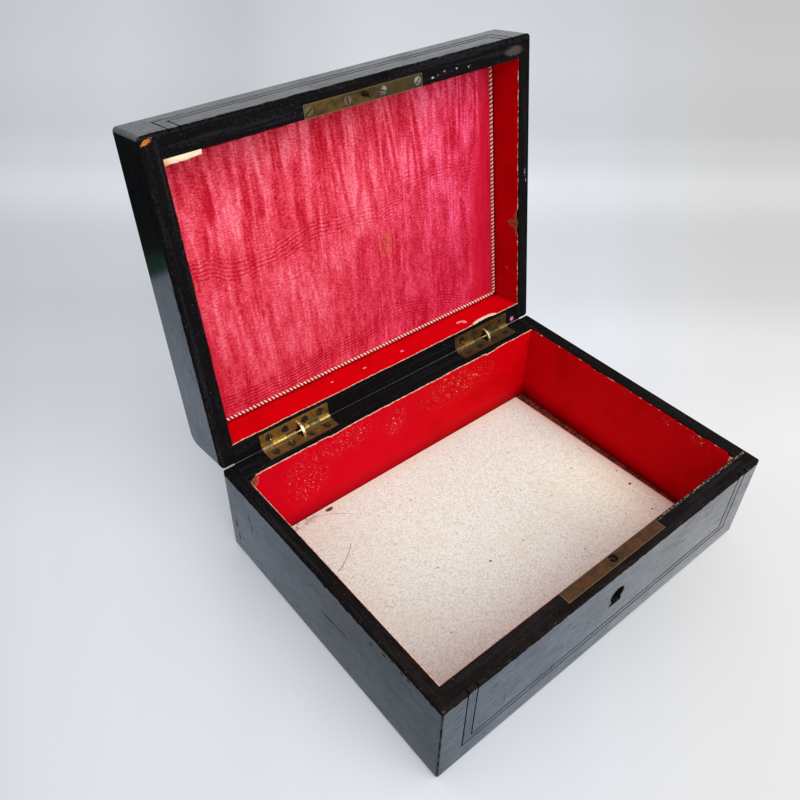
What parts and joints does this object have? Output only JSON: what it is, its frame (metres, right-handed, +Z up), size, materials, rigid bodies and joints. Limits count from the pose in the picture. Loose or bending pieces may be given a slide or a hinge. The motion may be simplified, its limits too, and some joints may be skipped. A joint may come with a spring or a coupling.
{
  "type": "glove box with a hinged lid",
  "caption": "Ebonised wooden glove box whose lid turns on stopped brass hinges, with a slide-bolt lock, red paper linings and a padded silk lid panel.",
  "frame": {"origin": "centre of the underside of the case", "axes": "+X to the right seen from the front, +Y to the hinge side, +Z up; the lid is stored open"},
  "size_m": [0.25, 0.2457, 0.2515],
  "materials": {
    "ebonised": "ebonised and french polished, worn semi-gloss",
    "banding": "ebonised banding strip, semi-gloss",
    "lining_paper": "glazed red lining paper",
    "card": "plain speckled card",
    "silk": "crimson moire silk",
    "cord": "twisted pink and cream silk cord",
    "felt": "pink felt plug",
    "brass_bright": "old unlacquered brass",
    "brass_dull": "brown patinated brass",
    "lock_steel": "dull sheet steel",
    "screw": "dull iron countersunk screws"
  },
  "bodies": {
    "case": {"case_back_wall": "ebonised", "case_banding_base": "banding", "case_banding_left": "banding", "case_banding_right": "banding", "case_bottom_board": "ebonised", "case_facing": "ebonised", "case_floor_card": "card", "case_front_wall": "ebonised", "case_left_wall": "ebonised", "case_lining_back": "lining_paper", "case_lining_front": "lining_paper", "case_lining_left": "lining_paper", "case_lining_right": "lining_paper", "case_right_wall": "ebonised", "hinge_left_case_leaf": "brass_bright", "hinge_left_case_screws": "screw", "hinge_left_pin": "brass_bright", "hinge_right_case_leaf": "brass_bright", "hinge_right_case_screws": "screw", "hinge_right_pin": "brass_bright", "lock_case": "lock_steel", "lock_drill_pin": "lock_steel", "lock_plate": "lock_steel", "lock_screws": "screw", "lock_selvedge": "brass_dull", "lock_spring": "lock_steel"},
    "lid": {"hinge_left_lid_leaf": "brass_bright", "hinge_left_lid_screws": "screw", "hinge_right_lid_leaf": "brass_bright", "hinge_right_lid_screws": "screw", "lid_back_wall": "ebonised", "lid_banding_left": "banding", "lid_banding_right": "banding", "lid_banding_top": "banding", "lid_edge_cord": "cord", "lid_facing": "ebonised", "lid_felt_plug": "felt", "lid_front_wall": "ebonised", "lid_left_wall": "ebonised", "lid_lining_back": "lining_paper", "lid_lining_front": "lining_paper", "lid_lining_left": "lining_paper", "lid_lining_right": "lining_paper", "lid_link_plate": "brass_dull", "lid_link_screws": "screw", "lid_link_stud": "brass_dull", "lid_panel_card": "card", "lid_right_wall": "ebonised", "lid_silk_cushion": "silk", "lid_top_board": "ebonised"},
    "stay_left": {"hinge_left_stay": "brass_bright"},
    "stay_right": {"hinge_right_stay": "brass_bright"},
    "bolt": {"lock_bolt": "brass_dull"}
  },
  "joints": [
    {"name": "lid_hinge", "type": "hinge", "parent": "case", "child": "lid", "pos_m": [0, 0.0942, 0.0652], "axis": [1, 0, 0], "range_deg": [0, 98.4]},
    {"name": "stay_left_turn", "type": "hinge", "parent": "case", "child": "stay_left", "pos_m": [-0.07235, 0.0942, 0.0652], "axis": [1, 0, 0], "range_deg": [0, 49.2]},
    {"name": "stay_right_turn", "type": "hinge", "parent": "case", "child": "stay_right", "pos_m": [0.08155, 0.0942, 0.0652], "axis": [1, 0, 0], "range_deg": [0, 49.2]},
    {"name": "bolt_slide", "type": "slide", "parent": "case", "child": "bolt", "axis": [1, 0, 0], "range_m": [0, 0.003]}
  ],
  "couplings": [
    {"joint": "stay_left_turn", "follows": "lid_hinge", "ratio": 0.5},
    {"joint": "stay_right_turn", "follows": "lid_hinge", "ratio": 0.5}
  ]
}
